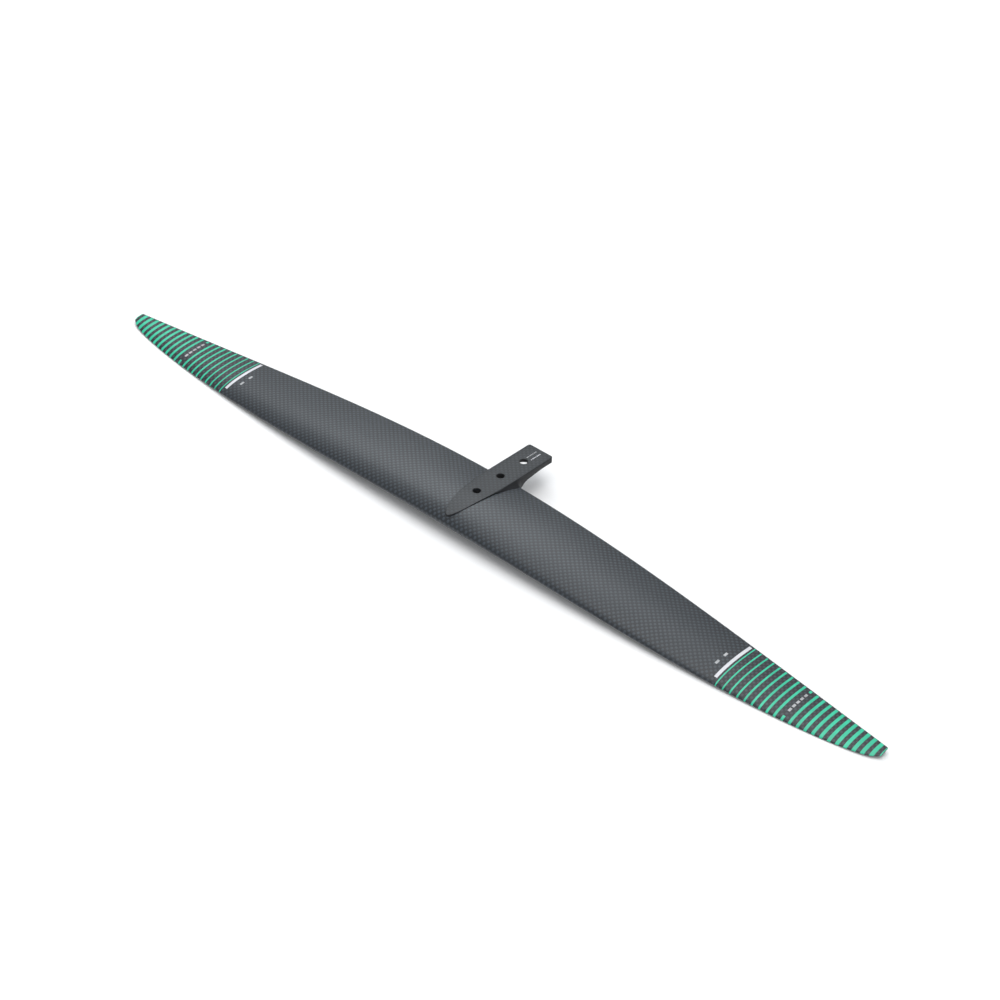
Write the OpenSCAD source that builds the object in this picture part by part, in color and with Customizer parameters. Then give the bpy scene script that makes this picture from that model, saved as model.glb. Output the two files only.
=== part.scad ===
// Hydrofoil front wing: hollow-moulded shell with a saddle and tongue for three bolts.
// Frame in millimetres: X along the span, -Y forward, +Z up.
// The origin is the middle bolt hole's centre on the saddle's flat top face.

/* [Planform] */
// Half of the span, root to the cut-off tip
half_span = 514; // [508:1:518]
// Half of the span at which the edge curves would meet
full_span = 529; // [526:1:536]
// Length of the rounding from the leading edge into the tip
tip_round = 16; // [14:1:18]
// How far forward of the middle bolt the tip point lies
tip_y = 34; // [31:0.5:37]
// Forward reach of the leading edge beyond the tip point, at the root
le_depth = 49.8; // [46:0.1:53]
// Fullness of the leading edge curve
le_power = 2.17; // [2:0.01:2.4]
// Trailing edge position at the root
te_root_y = 2.1; // [1.5:0.1:2.5]
// Fullness of the trailing edge curve
te_power = 2.08; // [1.9:0.01:2.3]

/* [Droop and twist] */
// Height of the trailing edge at the root
te_root_z = -3; // [-3.4:0.1:-2.8]
// How far the root trailing edge flares down and rearward
root_flare = 3.8; // [3:0.1:4.2]
// How far the tips hang below the root
droop = 22.5; // [15:0.5:28]
// Where along the span the droop happens
droop_power = 0.95; // [0.9:0.01:1]
// Nose-down angle of the mid-span chord against the saddle face
chord_pitch = 7.6; // [7.4:0.1:8]
// Extra nose-down angle at the root
root_pitch = 0.4; // [0.2:0.1:0.8]
// Extra nose-down angle at the tip
tip_pitch = 4.6; // [0:0.1:6]

/* [Section] */
// Thickness of the section as a share of the chord, outboard
tip_thickness = 0.115; // [0.11:0.005:0.12]
// Added thickness share towards the root
root_thickness = 0.04; // [0.03:0.005:0.04]
// Extra thickness share of the swelling under the saddle
hub_thickness = 0.042; // [0.03:0.002:0.046]
// Spanwise reach of that swelling and of the root flare
hub_reach = 65; // [55:1:75]
// Camber as a share of the chord
camber = 0.022; // [0.018:0.001:0.023]
// Half thickness left at the trailing edge
te_half = 0.35; // [0.3:0.05:0.5]

/* [Shell] */
// Skin thickness at the root
skin_root = 1.3; // [1:0.1:1.5]
// Skin thickness at the tip
skin_tip = 0.7; // [0.6:0.05:0.8]
// Spar cap thickness
cap_t = 1.2; // [0.8:0.1:1.4]
// Half width of the solid root blocks
block_half = 26; // [24:1:30]
// Where the solid tips start along the span
tip_start = 494; // [488:1:496]

/* [Saddle] */
// Width of the saddle and tongue
tongue_w = 33; // [32:0.5:35]
// Width of the part of the tongue that runs into the shell
plug_w = 29; // [27:0.5:30]
// Rear end of the tongue
tongue_end = 62; // [58:0.5:66]
// Corner radius of the tongue's rear end
tongue_corner = 3; // [2:0.5:5]
// Thickness of the tongue behind its taper
tongue_t = 6.4; // [6:0.1:7]
// Forward reach of the saddle nose
nose_reach = 79; // [77:0.5:80]
// Extra depth of the tongue where it meets the shell
tongue_drop = 3.8; // [3.4:0.1:4.2]
// Where the tongue starts to deepen
taper_start = 44; // [40:0.5:48]
// Where the tongue reaches its full depth
taper_end = 12; // [10:0.5:16]
// How far the saddle nose dips
nose_dip = 6; // [5.5:0.1:6.5]
// Where the flat top face ends and the nose starts to dip
flat_front = 40; // [40:0.5:44]
// Side reach of the gusset between tongue and trailing edge
gusset_x = 7.2; // [6:0.2:8]
// Front end of the gusset, on top of the shell
gusset_front = -23; // [-26:0.5:-20]
// Rearward reach of the gusset behind the trailing edge
gusset_run = 21; // [18:0.5:24]

/* [Bolt holes] */
// Spacing of the three bolt holes
hole_pitch = 35; // [34:0.5:36]
// Radius of the bolt holes
hole_r = 4.1; // [4:0.05:4.2]
// Radius of the countersinks underneath
sink_r = 8.6; // [8.4:0.1:8.8]

/* [Graphics] */
// Number of coloured stripes on each half
stripe_n = 21; // [18:1:21]
// Spacing of the stripes
stripe_pitch = 8.17; // [8:0.01:8.2]
// Spanwise position of the outermost stripe
stripe_x = 506.8; // [505:0.1:507]
// Width of the outermost stripe
stripe_wide = 4.1; // [3.5:0.1:4.5]
// Width of the innermost stripe
stripe_thin = 1.3; // [1:0.1:1.6]
// Film thickness of the graphics
film = 0.12; // [0.1:0.01:0.15]
// Spanwise position of the white bar
bar_x = 338.8; // [338:0.1:339.5]
// Width of the white bar
bar_w = 3.5; // [3:0.1:3.8]

/* [Hidden] */
nu = 16;
us = [for (i = [0:nu]) (1 - cos(180 * i / nu)) / 2];
bead_i = 2;
spar_a = 5;
spar_b = 7;
strip_i = 13;
plug_y = -22;
front_seat_z = -6.8;
big = 200;
carbon = [0.17, 0.18, 0.19];
carbon_dark = [0.11, 0.12, 0.12];
foam = [0.86, 0.80, 0.62];
resin = [0.30, 0.27, 0.20];
mint = [0.24, 0.86, 0.66];
white = [0.92, 0.92, 0.94];

// ---- planform and section laws ----
function share(x) = min(abs(x) / full_span, 1);
function turn(x, r) = 1 - sqrt(1 - pow(min(1, max(0, (abs(x) - half_span + r) / r)), 2));
function hub(x) = exp(-pow(x / hub_reach, 2));
function base_y(x) = te_root_y - (tip_y + te_root_y) * pow(share(x), te_power);
function te_y(x) = base_y(x) + root_flare * hub(x) - 1.3 * turn(x, 1.6);
function edge_y(x) = -tip_y - le_depth * sqrt(1 - pow(share(x), le_power));
function le_y(x) = edge_y(x) + 0.27 * (base_y(x) - edge_y(x)) * turn(x, tip_round);
function base_z(x) = te_root_z - droop * pow(sin(90 * pow(share(x), droop_power)), 2);
function te_z(x) = base_z(x) - root_flare * hub(x);
function pitch(x) = chord_pitch + root_pitch * pow(1 - share(x), 2)
    + tip_pitch * pow(share(x), 8);
function chord(x) = te_y(x) - le_y(x);
function le_z(x) = base_z(x) - (base_y(x) - le_y(x)) * tan(pitch(x));
function thick(x) = tip_thickness + root_thickness * pow(1 - share(x), 2)
    + hub_thickness * hub(x);
function foil(u) = 5 * (0.2969 * sqrt(u) - 0.126 * u - 0.3516 * u * u
    + 0.2843 * pow(u, 3) - 0.1036 * pow(u, 4));
function half_t(x, u) = chord(x) * thick(x) * foil(u) + te_half * u * min(1, chord(x) / 15);
function mid_z(x, u) = le_z(x) + (te_z(x) - le_z(x)) * u
    + 4 * camber * u * (1 - u) * chord(x);
function skin(x) = skin_root + (skin_tip - skin_root) * share(x);
function inner_t(x, u) = max(half_t(x, u) - skin(x), 0.3 * half_t(x, u));
function cap(x, u) = min(cap_t, 0.35 * inner_t(x, u));

// levels: 0 outer top, 1 inner top, 2 under the top cap, 3 over the lower cap,
// 4 inner bottom, 5 outer bottom, 6 film top
function height(x, u, lev) =
    lev == 0 ? half_t(x, u) :
    lev == 1 ? inner_t(x, u) :
    lev == 2 ? inner_t(x, u) - cap(x, u) :
    lev == 3 ? cap(x, u) - inner_t(x, u) :
    lev == 4 ? -inner_t(x, u) :
    lev == 5 ? -half_t(x, u) :
    half_t(x, u) + film;
function inset(x, lev) = lev > 0 && lev < 5 ? skin(x) : 0;
function at(x, u, lev) = [
    x,
    le_y(x) + inset(x, lev) + u * (chord(x) - inset(x, lev)),
    mid_z(x, u) + height(x, u, lev)
];

// ---- spanwise stations ----
half_stations = [0, 12, block_half, 40, 60, 85, 115, 150, 185, 220, 255, 290, 325, 355,
    385, 410, 430, 448, 464, 480, tip_start];
tip_steps = [0, 0.3, 0.55, 0.75, 0.89, 0.96, 1];
tip_stations = [for (k = tip_steps) tip_start + k * (half_span - tip_start)];
function flip(list) = [for (i = [len(list) - 1:-1:0]) -list[i]];
function tail(list) = [for (i = [1:len(list) - 1]) list[i]];
full_stations = concat(flip(tail(half_stations)), half_stations);
block_stations = [-block_half, -12, 0, 12, block_half];
wing_stations = [for (x = half_stations) if (x >= block_half) x];

// ---- loft between two levels over a list of stations and chord shares ----
function differ(a, b) = norm(a - b) > 0.000001;
function sound(p, f) = differ(p[f[0]], p[f[1]]) && differ(p[f[1]], p[f[2]])
    && differ(p[f[2]], p[f[0]]);

module loft(xs, uu, top, bottom) {
    m = len(uu);
    n = len(xs);
    h = m * n;
    upper = [for (x = xs) for (u = uu) at(x, u, top)];
    lower = [for (x = xs) for (u = uu) at(x, u, bottom)];
    p = concat(upper, lower);
    top_f = [for (j = [0:n - 2]) for (i = [0:m - 2]) for (k = [0:1])
        k == 0 ? [j * m + i, j * m + i + 1, (j + 1) * m + i + 1]
               : [j * m + i, (j + 1) * m + i + 1, (j + 1) * m + i]];
    bot_f = [for (f = top_f) [f[0] + h, f[2] + h, f[1] + h]];
    front = [for (j = [0:n - 2]) for (k = [0:1])
        k == 0 ? [j * m, (j + 1) * m, (j + 1) * m + h]
               : [j * m, (j + 1) * m + h, j * m + h]];
    back = [for (j = [0:n - 2]) for (k = [0:1])
        k == 0 ? [(j + 1) * m - 1, (j + 2) * m - 1 + h, (j + 2) * m - 1]
               : [(j + 1) * m - 1, (j + 1) * m - 1 + h, (j + 2) * m - 1 + h]];
    near = [for (i = [0:m - 2]) for (k = [0:1])
        k == 0 ? [i, i + h, i + 1 + h] : [i, i + 1 + h, i + 1]];
    q = (n - 1) * m;
    far = [for (i = [0:m - 2]) for (k = [0:1])
        k == 0 ? [q + i, q + i + 1 + h, q + i + h] : [q + i, q + i + 1, q + i + 1 + h]];
    faces = concat(top_f, bot_f, front, back, near, far);
    polyhedron(points = p, faces = [for (f = faces) if (sound(p, f)) f]);
}

function span_u(a, b) = [for (i = [a:b]) us[i]];

// ---- cutters ----
module plug() {
    translate([-plug_w / 2, plug_y, -40])
        cube([plug_w, big, 60]);
}

module bolt_cut(y, seat_z) {
    translate([0, y, 0])
        rotate_extrude($fn = 64)
            polygon([[0, 20], [hole_r, 20], [hole_r, seat_z],
                [sink_r, seat_z - (sink_r - hole_r)], [sink_r, -60], [0, -60]]);
}

function tongue_z(y) = -tongue_t
    - tongue_drop * min(1, max(0, (taper_start - y) / (taper_start - taper_end)));

module bolt_cuts() {
    front_bolt_cut();
    bolt_cut(0, tongue_z(0) + sink_r - hole_r);
    bolt_cut(hole_pitch, tongue_z(hole_pitch) + sink_r - hole_r);
}

module front_bolt_cut() {
    bolt_cut(-hole_pitch, front_seat_z);
}

// ---- saddle ----
function nose_pts() = [for (a = [90:-3.75:-90])
    [tongue_w / 2 * sin(a), -nose_reach * cos(a)]];
function corner(cx, cy, a0, a1) = [for (k = [0:6])
    [cx + tongue_corner * cos(a0 + (a1 - a0) * k / 6),
     cy + tongue_corner * sin(a0 + (a1 - a0) * k / 6)]];

module saddle_plan() {
    cx = tongue_w / 2 - tongue_corner;
    cy = tongue_end - tongue_corner;
    polygon(concat(nose_pts(), corner(-cx, cy, 180, 90), corner(cx, cy, 90, 0)));
}

function dip(y) = -nose_dip * pow(max(0, -flat_front - y) / (nose_reach - flat_front), 1.7);

module saddle_side() {
    steps = [for (k = [0:14]) -flat_front - (nose_reach + 1 - flat_front) * k / 14];
    top = [for (y = steps) [y, dip(y)]];
    under = [[-nose_reach - 1, -13.5], [-74, -16.5], [-30, -14.6], [-14, -12.3],
        [taper_end, tongue_z(taper_end)], [taper_start, -tongue_t],
        [tongue_end + 5, -tongue_t]];
    polygon(concat([[tongue_end + 5, 0]], top, under));
}

// the gusset flares from the tongue's side onto the shell and wraps its trailing edge
gusset_y = te_y(20);
function top_at(x, y) = mid_z(x, (y - le_y(x)) / chord(x))
    + half_t(x, (y - le_y(x)) / chord(x));
function reach(y) = y < gusset_y
    ? 0.1 + (gusset_x - 0.1) * (y - gusset_front) / (gusset_y - gusset_front)
    : gusset_x * pow(1 - (y - gusset_y) / gusset_run, 2.2);
function low(y) = y < gusset_y
    ? top_at(18, min(y, gusset_y - 0.3)) - 0.7
    : max(tongue_z(y) + 0.15, te_z(20) - te_half - 0.46 * (y - gusset_y));
function lip(y) = y < gusset_y ? low(y) + 0.3 : low(y) + 0.05;
function gusset_ring(y) = concat([[tongue_w / 2 - 2, -0.4]],
    [for (t = [0:0.2:1]) [tongue_w / 2 - 0.15 + reach(y) * t,
        lip(y) - (lip(y) + 0.4) * pow(1 - t, 1.3)]],
    [[tongue_w / 2 - 0.15 + reach(y), low(y)], [tongue_w / 2 - 2, low(y)]]);

module gusset(side) {
    ys = concat([for (k = [0:7]) gusset_front + (gusset_y - gusset_front) * k / 8],
        [for (k = [0:8]) gusset_y + 0.88 * gusset_run * k / 8]);
    rings = [for (y = ys) gusset_ring(y)];
    m = len(rings[0]);
    n = len(ys);
    p = [for (j = [0:n - 1]) for (q = rings[j]) [side * q[0], ys[j], q[1]]];
    wall = [for (j = [0:n - 2]) for (i = [0:m - 1]) for (k = [0:1])
        k == 0 ? [j * m + i, j * m + (i + 1) % m, (j + 1) * m + (i + 1) % m]
               : [j * m + i, (j + 1) * m + (i + 1) % m, (j + 1) * m + i]];
    first = [[for (i = [m - 1:-1:0]) i]];
    last = [[for (i = [0:m - 1]) (n - 1) * m + i]];
    polyhedron(points = p, faces = [for (f = concat(wall, first, last))
        side > 0 ? f : [for (i = [len(f) - 1:-1:0]) f[i]]]);
}

module wing_near_root() {
    difference() {
        loft([for (x = full_stations) if (abs(x) <= 60) x], us, 0, 5);
        plug();
    }
}

module saddle() {
    color(carbon)
    difference() {
        intersection() {
            translate([0, 0, -40])
                linear_extrude(height = 60)
                    saddle_plan();
            translate([-50, 0, 0])
                rotate([90, 0, 90])
                    linear_extrude(height = 100)
                        saddle_side();
        }
        wing_near_root();
        bolt_cuts();
        tongue_dashes();
    }
}

module gusset_piece(side) {
    color(carbon_dark)
    difference() {
        gusset(side);
        wing_near_root();
        translate([-tongue_w / 2, -60, -40])
            cube([tongue_w, 160, 60]);
    }
}

module gusset_left() {
    gusset_piece(-1);
}

module gusset_right() {
    gusset_piece(1);
}

// ---- shell ----
module upper_skin() {
    color(carbon)
    difference() {
        loft(full_stations, us, 0, 1);
        plug();
        front_bolt_cut();
    }
}

module lower_skin() {
    color(carbon_dark)
    difference() {
        loft(full_stations, us, 4, 5);
        plug();
        front_bolt_cut();
    }
}

module spar_cap_upper() {
    color(carbon_dark)
        loft(full_stations, span_u(spar_a, spar_b), 1, 2);
}

module spar_cap_lower() {
    color(carbon_dark)
        loft(full_stations, span_u(spar_a, spar_b), 3, 4);
}

module shear_web() {
    color(resin)
        loft(full_stations, span_u(spar_a, spar_b), 2, 3);
}

module le_bead() {
    color(resin)
        loft(full_stations, span_u(0, bead_i), 1, 4);
}

module root_block_front() {
    color(carbon_dark)
        loft(block_stations, span_u(bead_i, spar_a), 1, 4);
}

module root_block_rear() {
    color(carbon_dark)
    difference() {
        loft(block_stations, span_u(spar_b, nu), 1, 4);
        plug();
        front_bolt_cut();
    }
}

module half_loft(side, uu, top, bottom) {
    loft(side > 0 ? wing_stations : flip(wing_stations), uu, top, bottom);
}

module core_front_left() {
    color(foam)
        half_loft(-1, span_u(bead_i, spar_a), 1, 4);
}

module core_front_right() {
    color(foam)
        half_loft(1, span_u(bead_i, spar_a), 1, 4);
}

module core_rear_left() {
    color(foam)
        half_loft(-1, span_u(spar_b, strip_i), 1, 4);
}

module core_rear_right() {
    color(foam)
        half_loft(1, span_u(spar_b, strip_i), 1, 4);
}

module te_strip_left() {
    color(resin)
        half_loft(-1, span_u(strip_i, nu), 1, 4);
}

module te_strip_right() {
    color(resin)
        half_loft(1, span_u(strip_i, nu), 1, 4);
}

module tip_left() {
    color(carbon)
        loft(flip(tip_stations), us, 0, 5);
}

module tip_right() {
    color(carbon)
        loft(tip_stations, us, 0, 5);
}

// ---- graphics ----
function stripe_w(k) = stripe_thin + (stripe_wide - stripe_thin)
    * pow((stripe_n - k) / (stripe_n - 1), 0.8);

module film_patch(side, x, w, uu) {
    a = side * x - w / 2;
    b = side * x + w / 2;
    loft([a, b], uu, 6, 0);
}

module stripes(side) {
    film_patch(side, half_span - 0.5, 1, span_u(2, 15));
    for (k = [1:stripe_n]) {
        x = stripe_x - (k - 1) * stripe_pitch;
        if (k == 12) {
            film_patch(side, x, stripe_w(k), [0.01, 0.04, 0.09]);
            film_patch(side, x, stripe_w(k), [0.9, 0.96, 0.98]);
        }
        if (k != 12)
            film_patch(side, x, stripe_w(k),
                [for (u = us) min(max(u, 0.006), 0.985)]);
    }
}

module stripes_left() {
    color(mint)
        stripes(-1);
}

module stripes_right() {
    color(mint)
        stripes(1);
}

bar_u = concat([0.1], span_u(4, 14));

module bar_left() {
    color(white)
        film_patch(-1, bar_x, bar_w, bar_u);
}

module bar_right() {
    color(white)
        film_patch(1, bar_x, bar_w, bar_u);
}

// plain dashes where the maker's lettering would be
module marks(side) {
    for (k = [0:4]) {
        u = 0.22 + 0.13 * k;
        film_patch(side, stripe_x - 11 * stripe_pitch, 3, [u, u + 0.045, u + 0.09]);
    }
    for (k = [0:1])
        film_patch(side, bar_x - 10, 3, [0.3 + 0.2 * k, 0.34 + 0.2 * k, 0.38 + 0.2 * k]);
}

module mark_left() {
    color(white)
        marks(-1);
}

module mark_right() {
    color(white)
        marks(1);
}

module tongue_dashes() {
    for (x = [-2.5, 3.3])
        translate([x, 42, -film])
            cube([1, 15, 2 * film]);
}

module tongue_mark() {
    color(white)
    intersection() {
        tongue_dashes();
        translate([-10, 40, -1])
            cube([20, 20, 1]);
    }
}

saddle();
gusset_left();
gusset_right();
upper_skin();
lower_skin();
spar_cap_upper();
spar_cap_lower();
shear_web();
root_block_front();
root_block_rear();
core_front_left();
core_front_right();
core_rear_left();
core_rear_right();
le_bead();
te_strip_left();
te_strip_right();
tip_left();
tip_right();
stripes_left();
stripes_right();
bar_left();
bar_right();
mark_left();
mark_right();
tongue_mark();
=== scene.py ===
"""Hydrofoil front wing: smooth shell, saddle, gussets and printed stripes over the CAD frame."""

import math

import bmesh
import bpy
import numpy as np
from mathutils import Matrix, Vector


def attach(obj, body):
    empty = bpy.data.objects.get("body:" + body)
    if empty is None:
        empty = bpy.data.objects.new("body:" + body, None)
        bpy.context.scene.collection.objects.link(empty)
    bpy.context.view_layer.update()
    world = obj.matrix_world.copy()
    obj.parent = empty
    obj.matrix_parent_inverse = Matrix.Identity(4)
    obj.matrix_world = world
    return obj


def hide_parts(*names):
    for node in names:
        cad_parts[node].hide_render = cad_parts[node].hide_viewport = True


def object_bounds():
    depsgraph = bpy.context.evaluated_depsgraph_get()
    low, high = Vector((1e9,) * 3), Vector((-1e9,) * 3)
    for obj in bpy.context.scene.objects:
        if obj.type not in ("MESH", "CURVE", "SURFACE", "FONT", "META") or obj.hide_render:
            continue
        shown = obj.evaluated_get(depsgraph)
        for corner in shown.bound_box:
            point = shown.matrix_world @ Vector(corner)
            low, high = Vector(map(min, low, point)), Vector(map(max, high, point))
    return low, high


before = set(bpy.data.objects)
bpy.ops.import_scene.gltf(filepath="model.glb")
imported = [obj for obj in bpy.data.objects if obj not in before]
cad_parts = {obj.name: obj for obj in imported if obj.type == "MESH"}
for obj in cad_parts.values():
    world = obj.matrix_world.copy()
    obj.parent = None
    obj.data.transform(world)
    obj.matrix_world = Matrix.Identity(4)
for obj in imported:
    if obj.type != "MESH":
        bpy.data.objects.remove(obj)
cad_box = [list(v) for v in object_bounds()]

# ---- dimensions in millimetres, the same as the CAD model's ----
HALF_SPAN, FULL_SPAN, TIP_ROUND = 514.0, 529.0, 16.0
TIP_Y, LE_DEPTH, LE_POWER = 34.0, 49.8, 2.17
TE_ROOT_Y, TE_POWER, TE_ROOT_Z, ROOT_FLARE = 2.1, 2.08, -3.0, 3.8
DROOP, DROOP_POWER = 22.5, 0.95
CHORD_PITCH, ROOT_PITCH, TIP_PITCH = 7.6, 0.4, 4.6
TIP_THICK, ROOT_THICK, HUB_THICK, HUB_REACH = 0.115, 0.04, 0.042, 65.0
CAMBER, TE_HALF = 0.022, 0.35
SKIN_ROOT, SKIN_TIP, TIP_START = 1.3, 0.7, 494.0
TIP_SWEEP = 0.27  # share of the chord that the tip's front corner is cut back by
TIP_TRIM, TIP_TRIM_R = 1.3, 1.6  # the same for its rear corner, in mm
TONGUE_W, PLUG_W, TONGUE_END, CORNER = 33.0, 29.0, 62.0, 3.0
TONGUE_T, NOSE, DROP, TAPER_START, TAPER_END = 6.4, 79.0, 3.8, 44.0, 12.0
NOSE_DIP, FLAT_FRONT = 6.0, 40.0
GUSSET_X, GUSSET_FRONT, GUSSET_RUN = 7.2, -23.0, 21.0
GUSSET_SPAN = 20.0  # span at which the gussets meet the trailing edge
GUSSET_LAP, GUSSET_SINK, GUSSET_TOP = 1.85, 0.15, -0.4  # how they sit in the tongue's side
HOLE_PITCH, HOLE_R, SINK_R, FRONT_SEAT = 35.0, 4.1, 8.6, -6.8
STRIPES, STRIPE_PITCH, STRIPE_X, WIDE, THIN = 21, 8.17, 506.8, 4.1, 1.3
GAP_STRIPE = 12  # the stripe that makes room for lettering
BAR_X, BAR_W = 338.8, 3.5
DASH_W = 2.6
FILM_LIFT, FILM_SINK = 0.05, 0.06  # film above and below the surface
TICK_ROWS, TICK_LENGTHS = (-2.5, 3.3), (1.5, 1.1, 1.7)
TICK_START, TICK_PITCH, TICK_COUNT = 42.0, 2.15, 7
FLOOR_GAP, FLOOR_REACH, FLOOR_DEPTH = 0.4, 9000, 20
EDGE = 0.45  # rounding along the saddle's top edge
PLUG_FRONT = -22.0  # front of the opening that the tongue fills
ROOT_REACH = 60  # half-span inside which the meshes are finer
TOW = (3.08, 2.86)  # width of one tow of the weave along x and y
METRES = 0.001


# ---- wing laws ----
def turn(x, r):
    """How far the tip's corner has turned in at span x, from 0 to 1, over the last r mm."""
    return 1 - np.sqrt(1 - np.clip((np.abs(x) - HALF_SPAN + r) / r, 0, 1) ** 2)


def laws(x):
    """Leading and trailing edge, chord, thickness share and skin at span x."""
    n = np.clip(np.abs(x) / FULL_SPAN, 0, 1)
    hub = np.exp(-((x / HUB_REACH) ** 2))
    base_y = TE_ROOT_Y - (TIP_Y + TE_ROOT_Y) * n**TE_POWER
    base_z = TE_ROOT_Z - DROOP * np.sin(math.pi / 2 * n**DROOP_POWER) ** 2
    le_y = -TIP_Y - LE_DEPTH * np.sqrt(np.maximum(1 - n**LE_POWER, 0))
    le_y = le_y + TIP_SWEEP * (base_y - le_y) * turn(x, TIP_ROUND)
    pitch = np.radians(CHORD_PITCH + ROOT_PITCH * (1 - n) ** 2 + TIP_PITCH * n**8)
    le_z = base_z - (base_y - le_y) * np.tan(pitch)
    te_y = base_y + ROOT_FLARE * hub - TIP_TRIM * turn(x, TIP_TRIM_R)
    te_z = base_z - ROOT_FLARE * hub
    thick = TIP_THICK + ROOT_THICK * (1 - n) ** 2 + HUB_THICK * hub
    skin = SKIN_ROOT + (SKIN_TIP - SKIN_ROOT) * n
    return le_y, le_z, te_y, te_z, te_y - le_y, thick, skin


def foil(u):
    """Half thickness over the chord share u, for a thickness share of 1."""
    return 5 * (0.2969 * np.sqrt(u) - 0.126 * u - 0.3516 * u**2 + 0.2843 * u**3 - 0.1036 * u**4)


def surface(x, u, side, inner=False):
    """Points at span x and chord share u, side 1 above and -1 below."""
    le_y, le_z, _, te_z, chord, thick, skin = laws(x)
    half = chord * thick * foil(u) + TE_HALF * u * np.minimum(1, chord / 15)
    inset = 0
    if inner:
        half = np.maximum(half - skin, 0.3 * half)
        inset = skin
    mid = le_z + (te_z - le_z) * u + 4 * CAMBER * u * (1 - u) * chord
    return np.stack([x, le_y + inset + u * (chord - inset), mid + side * half], -1)


def section(x, s):
    """The outer surface, s running from -1 at the lower edge round the nose to 1 at the upper."""
    return surface(x, s * s, np.where(s < 0, -1.0, 1.0))


def section_normal(x, s):
    s = np.clip(s, -0.998, 0.998)
    x = np.clip(x, 0.6 - HALF_SPAN, HALF_SPAN - 0.6)
    ds = section(x, s + 1e-3) - section(x, s - 1e-3)
    dx = section(x + 0.05, s) - section(x - 0.05, s)
    n = np.cross(dx, ds)
    return n / np.maximum(np.linalg.norm(n, axis=-1, keepdims=True), 1e-12)


def top_at(x, y):
    le_y, _, _, _, chord, _, _ = laws(np.array(x))
    return float(surface(np.array(x), np.clip((y - le_y) / chord, 0, 1), 1.0)[2])


# ---- mesh helpers ----
def new_object(name, verts, faces, merge=True):
    """A linked object from points in millimetres."""
    mesh = bpy.data.meshes.new(name)
    mesh.from_pydata([tuple(v) for v in np.asarray(verts) * METRES], [], faces)
    bm = bmesh.new()
    bm.from_mesh(mesh)
    if merge:
        bmesh.ops.remove_doubles(bm, verts=bm.verts, dist=1e-7)
        bmesh.ops.dissolve_degenerate(bm, edges=bm.edges, dist=1e-7)
    bmesh.ops.recalc_face_normals(bm, faces=bm.faces)
    bm.to_mesh(mesh)
    bm.free()
    obj = bpy.data.objects.new(name, mesh)
    bpy.context.scene.collection.objects.link(obj)
    return obj


def slab_faces(rows, cols):
    """Quads joining two stacked grids of rows by cols points into a closed slab."""
    h, faces = rows * cols, []
    for j in range(rows - 1):
        for i in range(cols - 1):
            a = j * cols + i
            q = [a, a + 1, a + cols + 1, a + cols]
            faces += [q, [v + h for v in reversed(q)]]
    for j in range(rows - 1):
        for i in (0, cols - 1):
            a, b = j * cols + i, (j + 1) * cols + i
            faces.append([a, b, b + h, a + h])
    for i in range(cols - 1):
        for j in (0, rows - 1):
            a = j * cols + i
            faces.append([a, a + 1, a + 1 + h, a + h])
    return faces


def loft(name, xs, us, top, bottom):
    """A solid between two levels, each (side, inner)."""
    X, U = np.meshgrid(xs, us, indexing="ij")
    grids = [surface(X, U, float(side), inner).reshape(-1, 3) for side, inner in (top, bottom)]
    return new_object(name, np.concatenate(grids), slab_faces(len(xs), len(us)))


def rings(name, loops):
    """A closed body through a list of equal loops, capped at both ends."""
    m, n = len(loops[0]), len(loops)
    faces = [
        [j * m + i, j * m + (i + 1) % m, (j + 1) * m + (i + 1) % m, (j + 1) * m + i]
        for j in range(n - 1)
        for i in range(m)
    ]
    faces += [list(reversed(range(m))), [(n - 1) * m + i for i in range(m)]]
    return new_object(name, np.concatenate([np.array(r) for r in loops]), faces)


def box(name, lo, hi):
    loops = []
    for x in (lo[0], hi[0]):
        loops.append([(x, lo[1], lo[2]), (x, hi[1], lo[2]), (x, hi[1], hi[2]), (x, lo[1], hi[2])])
    return rings(name, loops)


def boolean(obj, cutters, operation="DIFFERENCE"):
    """Apply the cutters to the object's own mesh, one after another."""
    for c in cutters:
        mod = obj.modifiers.new("cut", "BOOLEAN")
        mod.operation, mod.solver, mod.object = operation, "EXACT", c
    graph = bpy.context.evaluated_depsgraph_get()
    mesh = bpy.data.meshes.new_from_object(obj.evaluated_get(graph))
    obj.modifiers.clear()
    obj.data = mesh


def drop(*objs):
    for o in objs:
        bpy.data.objects.remove(o, do_unlink=True)


def smooth(obj, angle=32):
    """Smooth shading, with the wing law's own normals wherever a face lies on the shell."""
    mesh = obj.data
    for p in mesh.polygons:
        p.use_smooth = True
    mesh.set_sharp_from_angle(angle=math.radians(angle))
    n = len(mesh.loops)
    vert = np.empty(n, int)
    mesh.loops.foreach_get("vertex_index", vert)
    co = np.empty(len(mesh.vertices) * 3)
    mesh.vertices.foreach_get("co", co)
    p = co.reshape(-1, 3)[vert] * 1000
    face = np.zeros((n, 3))
    for poly in mesh.polygons:
        face[poly.loop_start : poly.loop_start + poly.loop_total] = poly.normal
    le_y, _, _, _, chord, _, _ = laws(p[:, 0])
    u = np.clip((p[:, 1] - le_y) / chord, 0, 1)
    out = np.zeros((n, 3))
    for side in (1.0, -1.0):
        gap = np.abs(surface(p[:, 0], u, side)[:, 2] - p[:, 2])
        normal = section_normal(p[:, 0], side * np.sqrt(u))
        good = (gap < 0.01) & ((normal * face).sum(1) > 0.8)
        out[good] = normal[good]
    mesh.normals_split_custom_set([tuple(v) for v in out])
    return obj


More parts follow.
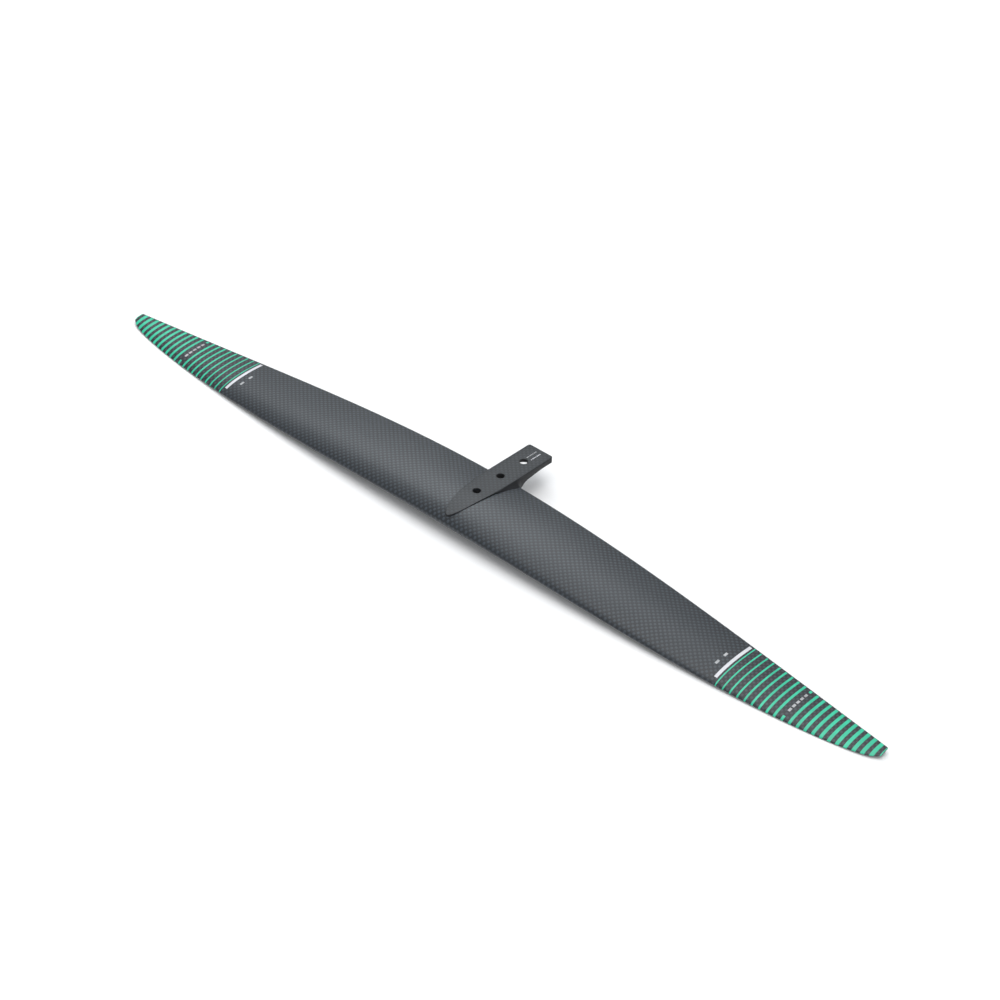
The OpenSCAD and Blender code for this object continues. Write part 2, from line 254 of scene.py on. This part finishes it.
# ---- procedural materials ----
class Graph:
    def __init__(self, name):
        self.mat = bpy.data.materials.new(name)
        self.mat.use_nodes = True
        self.tree = self.mat.node_tree
        self.shader = self.tree.nodes["Principled BSDF"]
        self.coord = self.tree.nodes.new("ShaderNodeTexCoord").outputs["Object"]

    def node(self, kind, ins=(), **props):
        n = self.tree.nodes.new(kind)
        for k, v in props.items():
            setattr(n, k, v)
        for key, value in dict(ins).items():
            if isinstance(value, bpy.types.NodeSocket):
                self.tree.links.new(value, n.inputs[key])
            else:
                n.inputs[key].default_value = value
        return n

    def math(self, op, a, b=0.0, c=0.0):
        return self.node("ShaderNodeMath", {0: a, 1: b, 2: c}, operation=op).outputs[0]

    def scaled(self, factors):
        return self.node(
            "ShaderNodeVectorMath", {0: self.coord, 1: factors}, operation="MULTIPLY"
        ).outputs[0]

    def noise(self, vector, scale, detail=2.0, rough=0.5):
        return self.node(
            "ShaderNodeTexNoise",
            {"Vector": vector, "Scale": scale, "Detail": detail, "Roughness": rough},
        ).outputs["Fac"]

    def mix(self, fac, a, b):
        n = self.node("ShaderNodeMix", {0: fac}, data_type="RGBA")
        for i, v in ((6, a), (7, b)):
            if isinstance(v, bpy.types.NodeSocket):
                self.tree.links.new(v, n.inputs[i])
            else:
                n.inputs[i].default_value = (*v, 1)
        return n.outputs[2]

    def span(self, value, a, b, c=0.0, d=1.0):
        ins = {0: value, 1: a, 2: b, 3: c, 4: d}
        return self.node("ShaderNodeMapRange", ins, interpolation_type="SMOOTHSTEP").outputs[0]

    def set(self, **sockets):
        for key, value in sockets.items():
            socket = self.shader.inputs[key.replace("_", " ")]
            if isinstance(value, bpy.types.NodeSocket):
                self.tree.links.new(value, socket)
            else:
                socket.default_value = value
        return self

    def bump(self, height, distance, strength=1.0):
        self.set(
            Normal=self.node(
                "ShaderNodeBump", {"Height": height, "Distance": distance, "Strength": strength}
            ).outputs[0]
        )
        return self


def woven_carbon(name, dark, light, spec=0.42, rough=0.46, coat=0.28):
    """Plain weave under a satin clear coat: crossing tows, fibre streaks and resin clouding."""
    g = Graph(name)
    sep = g.node("ShaderNodeSeparateXYZ", {0: g.coord})
    ax = g.math("MULTIPLY", sep.outputs[0], 1000 / TOW[0])
    ay = g.math("MULTIPLY", sep.outputs[1], 1000 / TOW[1])
    fx, fy = g.math("FRACT", ax), g.math("FRACT", ay)
    cell = g.math("ADD", g.math("FLOOR", ax), g.math("FLOOR", ay))
    warp = g.math("PINGPONG", cell, 1.0)
    pillow_x = g.math("SINE", g.math("MULTIPLY", fx, math.pi))
    pillow_y = g.math("SINE", g.math("MULTIPLY", fy, math.pi))
    pillow = g.math("POWER", g.math("MULTIPLY", pillow_x, pillow_y), 0.5)
    streak_x = g.noise(g.scaled((60, 5200, 60)), 1.0)
    streak_y = g.noise(g.scaled((5200, 60, 60)), 1.0)
    streak = g.math("ADD", g.math("MULTIPLY", warp, streak_x),
                    g.math("MULTIPLY", g.math("SUBTRACT", 1.0, warp), streak_y))
    cloud = g.span(g.noise(g.scaled((1, 1, 1)), 14, 3), 0.3, 0.7)
    tow = g.math("MULTIPLY", g.math("SUBTRACT", 1.0, warp), g.span(pillow, 0.15, 0.75))
    tone = g.math("ADD", g.math("MULTIPLY", tow, 0.75), g.math("MULTIPLY", streak, 0.3))
    woven = g.mix(tone, dark, light)
    g.set(
        Base_Color=g.mix(g.math("MULTIPLY", cloud, 0.22), woven, [c * 0.6 for c in light]),
        Roughness=g.span(streak, 0.3, 0.7, rough - 0.06, rough + 0.08),
        Coat_Weight=0.2,
        Coat_Roughness=coat,
        Coat_IOR=1.5,
        Specular_IOR_Level=spec,
    )
    height = g.math("ADD", g.math("MULTIPLY", pillow, 0.7), g.math("MULTIPLY", streak, 0.3))
    return g.bump(height, 0.00012, 0.8).mat


def moulded(
    name, dark, light, rough, coat=0.0, scale=60, grain=900, depth=0.00003, spec=0.5
):
    """Moulded resin, foam or film: clouded colour, fine grain and scuffed roughness."""
    g = Graph(name)
    cloud = g.span(g.noise(g.scaled((1, 1, 1)), scale, 3), 0.3, 0.7)
    fine = g.noise(g.scaled((1, 1, 1)), grain, 3)
    g.set(
        Base_Color=g.mix(cloud, dark, light),
        Roughness=g.span(fine, 0.25, 0.75, rough - 0.05, rough + 0.07),
        Coat_Weight=coat,
        Coat_Roughness=0.25,
        Specular_IOR_Level=spec,
    )
    return g.bump(fine, depth, 0.4).mat


CARBON = woven_carbon("woven_carbon", (0.002, 0.003, 0.005), (0.038, 0.049, 0.060))
SADDLE = woven_carbon("saddle_carbon", (0.002, 0.003, 0.004), (0.018, 0.024, 0.030), 0.3)
# Unwoven moulded carbon for the saddle's sides, underside and gussets, coloured darker than the top
# as painted shade
CARBON_SIDE_PAINTED_SHADE = moulded(
    "moulded_carbon_painted_shade", (0.004, 0.005, 0.006), (0.010, 0.011, 0.013), 0.5, spec=0.32
)
BORE = moulded("bored_laminate", (0.006, 0.006, 0.007), (0.014, 0.014, 0.015), 0.6)
SPAR = moulded("spar_laminate", (0.02, 0.02, 0.022), (0.035, 0.035, 0.038), 0.5, 0.1)
FOAM = moulded("core_foam", (0.60, 0.52, 0.33), (0.74, 0.66, 0.44), 0.85, 0.0, 40, 1400, 0.0002)
RESIN = moulded("filled_resin", (0.07, 0.06, 0.04), (0.12, 0.10, 0.07), 0.45)
MINT = moulded("mint_film", (0.012, 0.43, 0.25), (0.022, 0.52, 0.31), 0.42, 0.2, 90)
WHITE = moulded("white_film", (0.56, 0.57, 0.60), (0.64, 0.64, 0.67), 0.42, 0.2, 90)
DIM = moulded("grey_film", (0.30, 0.31, 0.32), (0.42, 0.43, 0.44), 0.45, 0.5, 90)


def give(obj, *mats):
    obj.data.materials.clear()
    for m in mats:
        obj.data.materials.append(m)


def piece(obj, slot, *replaced):
    """Ride the root body and stand for the replaced nodes; the slot argument is not used."""
    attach(obj, "root")
    if replaced:
        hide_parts(*replaced)
    return obj


# ---- camera, at the photograph's viewing angle ----
AZ, EL, ROLL = (math.radians(v) for v in (41.99, 37.04, 1.5))
CAMERA_AWAY, CAMERA_LEFT, CAMERA_DOWN = 2.7561, 0.00042, 0.0245  # in metres
back = Vector((math.sin(AZ) * math.cos(EL), -math.cos(AZ) * math.cos(EL), math.sin(EL)))
right = Vector((math.cos(AZ), math.sin(AZ), 0))
up = back.cross(right)
right, up = (
    math.cos(ROLL) * right + math.sin(ROLL) * up,
    math.cos(ROLL) * up - math.sin(ROLL) * right,
)
camera = bpy.data.objects.new("camera", bpy.data.cameras.new("camera"))
bpy.context.scene.collection.objects.link(camera)
place = CAMERA_AWAY * back - CAMERA_LEFT * right - CAMERA_DOWN * up
camera.matrix_world = Matrix.Translation(place) @ Matrix((right, up, back)).transposed().to_4x4()
camera.data.lens = 97.73
camera.data.sensor_width = 36.0
camera.data.clip_start = 0.05
camera.data.clip_end = 60
bpy.context.scene.camera = camera

# ---- shell ----
U_FINE = (1 - np.cos(np.pi * np.arange(49) / 48)) / 2
fine_x, coarse_x = np.arange(0, ROOT_REACH, 4.0), np.arange(ROOT_REACH, TIP_START - 2, 5.5)
inboard = np.concatenate([fine_x, coarse_x, [TIP_START]])
BODY_X = np.concatenate([-inboard[:0:-1], inboard])
tip_share = np.sin(np.linspace(0, math.pi / 2, 26))
TIP_X = TIP_START + tip_share * (HALF_SPAN - TIP_START)
OUT_TOP, IN_TOP, IN_LOW, OUT_LOW = (1, False), (1, True), (-1, True), (-1, False)


def revolve(name, profile, y, count=96):
    """A body turned about the vertical line at x 0 and the given y."""
    angle = 2 * np.pi * np.arange(count) / count
    loops = [
        np.stack([r * np.cos(angle), y + r * np.sin(angle), np.full(count, z)], -1)
        for r, z in profile
    ]
    return rings(name, loops)


def tongue_z(y):
    """Height of the tongue's underside."""
    return -TONGUE_T - DROP * min(1, max(0, (TAPER_START - y) / (TAPER_START - TAPER_END)))


def bolt_cutter(name, y, seat):
    """A bolt's clearance hole, with a small top chamfer and a countersink below the seat."""
    wide = SINK_R - HOLE_R
    profile = [(HOLE_R + 0.45, 0.3), (HOLE_R + 0.42, 0), (HOLE_R, -0.42), (HOLE_R, seat),
               (SINK_R, seat - wide), (SINK_R, -60)]
    return revolve(name, profile, y)


seats = {-HOLE_PITCH: FRONT_SEAT}
for y_hole in (0.0, HOLE_PITCH):
    seats[y_hole] = tongue_z(y_hole) + SINK_R - HOLE_R
bolts = [bolt_cutter(f"bolt_{i}", y, z) for i, (y, z) in enumerate(seats.items())]
plug = box("plug", (-PLUG_W / 2, PLUG_FRONT, -40), (PLUG_W / 2, PLUG_FRONT + 200, 20))

shell_top = loft("shell_upper", BODY_X, U_FINE, OUT_TOP, IN_TOP)
shell_low = loft("shell_lower", BODY_X, U_FINE, IN_LOW, OUT_LOW)
for obj, node in ((shell_top, "upper_skin"), (shell_low, "lower_skin")):
    boolean(obj, [plug, bolts[0]])
    give(obj, CARBON)
    piece(smooth(obj), "laminate", node)
for side, tag in ((-1, "left"), (1, "right")):
    tip = loft(f"tip_cap_{tag}", TIP_X * side, U_FINE, OUT_TOP, OUT_LOW)
    give(tip, CARBON)
    piece(smooth(tip), "laminate", f"tip_{tag}")


# ---- saddle, tongue and gussets ----
def half_width(y):
    """Half the saddle's width: an elliptical nose, then a tongue with rounded corners."""
    w = TONGUE_W / 2
    if y < 0:
        return w * math.sqrt(max(1 - (y / NOSE) ** 2, 0))
    over = y - (TONGUE_END - CORNER)
    return w if over <= 0 else w - CORNER + math.sqrt(max(CORNER**2 - over**2, 0))


def face_z(y):
    z = -NOSE_DIP * (max(0, -FLAT_FRONT - y) / (NOSE - FLAT_FRONT)) ** 1.7
    over = max(0, y - (TONGUE_END - EDGE))
    return z - (EDGE - math.sqrt(max(EDGE**2 - over**2, 0)))


def under_z(y):
    ys = [-NOSE - 1, -74, -30, -14, TAPER_END, TAPER_START, TONGUE_END + 5]
    zs = [-13.5, -16.5, -14.6, -12.3, tongue_z(TAPER_END), -TONGUE_T, -TONGUE_T]
    return float(np.interp(y, ys, zs))


def saddle_ring(y):
    """Cross-section of the saddle at y, rounded along its edges."""
    w, zt, zb = max(half_width(y), 0.05), face_z(y), under_z(y)
    e = min(EDGE, w * 0.45)
    bend = [(w - e + e * math.sin(a), zt - e + e * math.cos(a))
            for a in np.linspace(0, math.pi / 2, 6)]
    low = [(w - e + e * math.cos(a), zb + e - e * math.sin(a))
           for a in np.linspace(0, math.pi / 2, 4)]
    half = [((w - e) * t, zt) for t in (0.33, 0.66)] + bend + low
    loop = half + [(-x, z) for x, z in reversed(half)]
    return [(x, y, z) for x, z in loop]


nose_y = -NOSE * np.cos(np.linspace(0.02, math.pi / 2, 46))
end_y = TONGUE_END - CORNER + CORNER * np.sin(np.linspace(0, math.pi / 2, 16))
saddle_y = np.concatenate([nose_y, np.linspace(2, TONGUE_END - CORNER - 2, 24), end_y])
saddle = rings("saddle_body", [saddle_ring(float(y)) for y in saddle_y])

GUSSET_Y, GUSSET_Z = (float(v) for v in laws(np.array(GUSSET_SPAN))[2:4])


def gusset_ring(y, side):
    """Cross-section of a gusset: a concave fillet from the tongue down to the wing."""
    if y < GUSSET_Y:
        reach = 0.1 + (GUSSET_X - 0.1) * (y - GUSSET_FRONT) / (GUSSET_Y - GUSSET_FRONT)
        low = top_at(GUSSET_SPAN - 2, min(y, GUSSET_Y - 0.3)) - 0.7
        lip = low + 0.3
    else:
        reach = GUSSET_X * (1 - (y - GUSSET_Y) / GUSSET_RUN) ** 2.2
        low = max(tongue_z(y) + GUSSET_SINK, GUSSET_Z - TE_HALF - 0.46 * (y - GUSSET_Y))
        lip = low + 0.05
    x0 = TONGUE_W / 2 - GUSSET_SINK
    loop = [(x0 - GUSSET_LAP, GUSSET_TOP)]
    for t in np.linspace(0, 1, 15):
        loop.append((x0 + reach * t, lip - (lip - GUSSET_TOP) * (1 - t) ** 1.3))
    loop += [(x0 + reach, low), (x0 - GUSSET_LAP, low)]
    return [(side * x, y, z) for x, z in loop]


gusset_ys = np.concatenate([
    np.linspace(GUSSET_FRONT, GUSSET_Y, 24)[:-1],
    np.linspace(GUSSET_Y, GUSSET_Y + 0.88 * GUSSET_RUN, 30),
])
gussets = [
    rings(f"gusset_{tag}", [gusset_ring(float(y), side) for y in gusset_ys])
    for side, tag in ((-1, "l"), (1, "r"))
]
near = loft("near_root", BODY_X[np.abs(BODY_X) <= ROOT_REACH], U_FINE, OUT_TOP, OUT_LOW)
boolean(near, [plug])
boolean(saddle, gussets, "UNION")
boolean(saddle, [near, *bolts])
drop(near, plug, *gussets, *bolts)

give(saddle, SADDLE, CARBON_SIDE_PAINTED_SHADE, BORE)
for p in saddle.data.polygons:
    c = p.center * 1000
    in_bore = any(math.hypot(c.x, c.y - y) < SINK_R + 0.2 for y in seats) and p.normal.z < 0.3
    # Faces that don't point up take the darker side material: painted shade on the saddle's walls
    # and gussets
    p.material_index = 2 if in_bore else 0 if p.normal.z > 0.9 and c.z > -8 else 1
smooth(saddle, 28)
piece(saddle, "laminate", "saddle", "gusset_left", "gusset_right")


# ---- printed film ----
def film(x, width, s0, s1, steps=44):
    """A strip of film wrapped over the section from s0 to s1, with its points' normals."""
    xs = x + width * np.linspace(-0.5, 0.5, 4)
    ss = np.linspace(s0, s1, steps)
    X, S = np.meshgrid(xs, ss, indexing="ij")
    P, N = section(X, S), section_normal(X, S)
    verts = np.concatenate([(P + N * FILM_LIFT).reshape(-1, 3), (P - N * FILM_SINK).reshape(-1, 3)])
    return verts, slab_faces(len(xs), len(ss)), np.tile(N.reshape(-1, 3), (2, 1))


def film_piece(name, parts, mat, slot, *replaced):
    """Join strips of film into one piece, shaded with the surface's own normals."""
    verts, faces, normals, base = [], [], [], 0
    for v, f, n in parts:
        verts.append(v)
        normals.append(n)
        faces += [[i + base for i in q] for q in f]
        base += len(v)
    obj = new_object(name, np.concatenate(verts), faces, merge=False)
    mesh = obj.data
    for p in mesh.polygons:
        p.use_smooth = True
    mesh.set_sharp_from_angle(angle=math.radians(40))
    normals = np.concatenate(normals)
    wanted = []
    for p in mesh.polygons:
        for v in p.vertices:
            n = Vector(normals[v])
            wanted.append(tuple(n) if n.dot(p.normal) > 0.9 else (0, 0, 0))
    mesh.normals_split_custom_set(wanted)
    give(obj, mat)
    return piece(obj, slot, *replaced)


def stripe_x(side, k):
    return side * (STRIPE_X - (k - 1) * STRIPE_PITCH)


def stripe_width(k):
    return THIN + (WIDE - THIN) * ((STRIPES - k) / (STRIPES - 1)) ** 0.8


for side, tag in ((-1, "left"), (1, "right")):
    parts = [film(side * (HALF_SPAN - 0.55), 1.0, -0.985, 0.985)]
    for k in range(1, STRIPES + 1):
        runs = ((-0.1, 0.3), (0.95, 0.99)) if k == GAP_STRIPE else ((-0.1, 0.992),)
        parts += [film(stripe_x(side, k), stripe_width(k), s0, s1) for s0, s1 in runs]
    film_piece(f"stripe_set_{tag}", parts, MINT, "mint_film", f"stripes_{tag}")
    bar = [film(side * BAR_X, BAR_W, math.sqrt(0.1), math.sqrt(0.96))]
    film_piece(f"bar_film_{tag}", bar, WHITE, "white_film", f"bar_{tag}")
    dashes = []
    for x, count, start, pitch, length in (
        (stripe_x(side, GAP_STRIPE), 5, 0.22, 0.13, 0.09),
        (side * (BAR_X - 10), 2, 0.3, 0.2, 0.08),
    ):
        for k in range(count):
            u = start + pitch * k
            dashes.append(film(x, DASH_W, math.sqrt(u), math.sqrt(u + length), steps=6))
    film_piece(f"dash_film_{tag}", dashes, DIM, "white_film", f"mark_{tag}")

# two rows of plain ticks on the tongue
ticks = []
for row, x in enumerate(TICK_ROWS):
    for k in range(TICK_COUNT):
        length = TICK_LENGTHS[(k + row) % 3]
        y = TICK_START + TICK_PITCH * k
        tick = box(f"tick_{row}_{k}", (x, y, -0.11), (x + 1, y + length, 0.02))
        give(tick, DIM, WHITE)
        for p in tick.data.polygons:
            p.material_index = row
        ticks.append(tick)
bm = bmesh.new()
for t in ticks:
    bm.from_mesh(t.data)
label = ticks[0]
bm.to_mesh(label.data)
bm.free()
drop(*ticks[1:])
label.name = "tongue_ticks"
piece(label, "white_film", "tongue_mark")

# ---- carried-over CAD nodes ----
FINISH = {"spar": SPAR, "shear": SPAR, "root": SPAR, "core": FOAM, "le": RESIN, "te": RESIN}
for name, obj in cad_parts.items():
    mat = FINISH.get(name.split("_")[0])
    if mat and not obj.hide_render:
        for s in obj.material_slots:
            s.material = mat

# ---- floor and light ----
floor_z = cad_box[0][2] * 1000 - FLOOR_GAP
floor_end = [(-FLOOR_REACH, floor_z), (FLOOR_REACH, floor_z),
             (FLOOR_REACH, floor_z - FLOOR_DEPTH), (-FLOOR_REACH, floor_z - FLOOR_DEPTH)]
floor = rings("floor", [[(x, y, z) for y, z in floor_end] for x in (-FLOOR_REACH, FLOOR_REACH)])
give(floor, moulded("floor_paint", (0.86, 0.86, 0.86), (0.89, 0.89, 0.89), 0.8, 0.0, 3, 60))


def soft_light(name, direction, distance, size, power, colour=(1, 1, 1)):
    data = bpy.data.lights.new(name, "AREA")
    data.shape, data.size, data.energy, data.color = "SQUARE", size, power, colour
    obj = bpy.data.objects.new(name, data)
    d = Vector(direction).normalized()
    obj.location = d * distance
    obj.rotation_euler = d.to_track_quat("Z", "Y").to_euler()
    bpy.context.scene.collection.objects.link(obj)


soft_light("rear_softbox", (-0.53, 0.38, 0.75), 2.6, 1.3, 22, (0.93, 0.97, 1.0))
soft_light("overhead", (0.1, -0.1, 1.0), 3.2, 3.0, 70)
soft_light("front_fill", (0.7, -0.8, 0.5), 3.4, 1.6, 14)

world = bpy.data.worlds.new("studio")
world.use_nodes = True
world.node_tree.nodes["Background"].inputs[0].default_value = (0.95, 0.97, 1.0, 1)
world.node_tree.nodes["Background"].inputs[1].default_value = 0.55
bpy.context.scene.world = world
bpy.context.scene.view_settings.view_transform = "Standard"
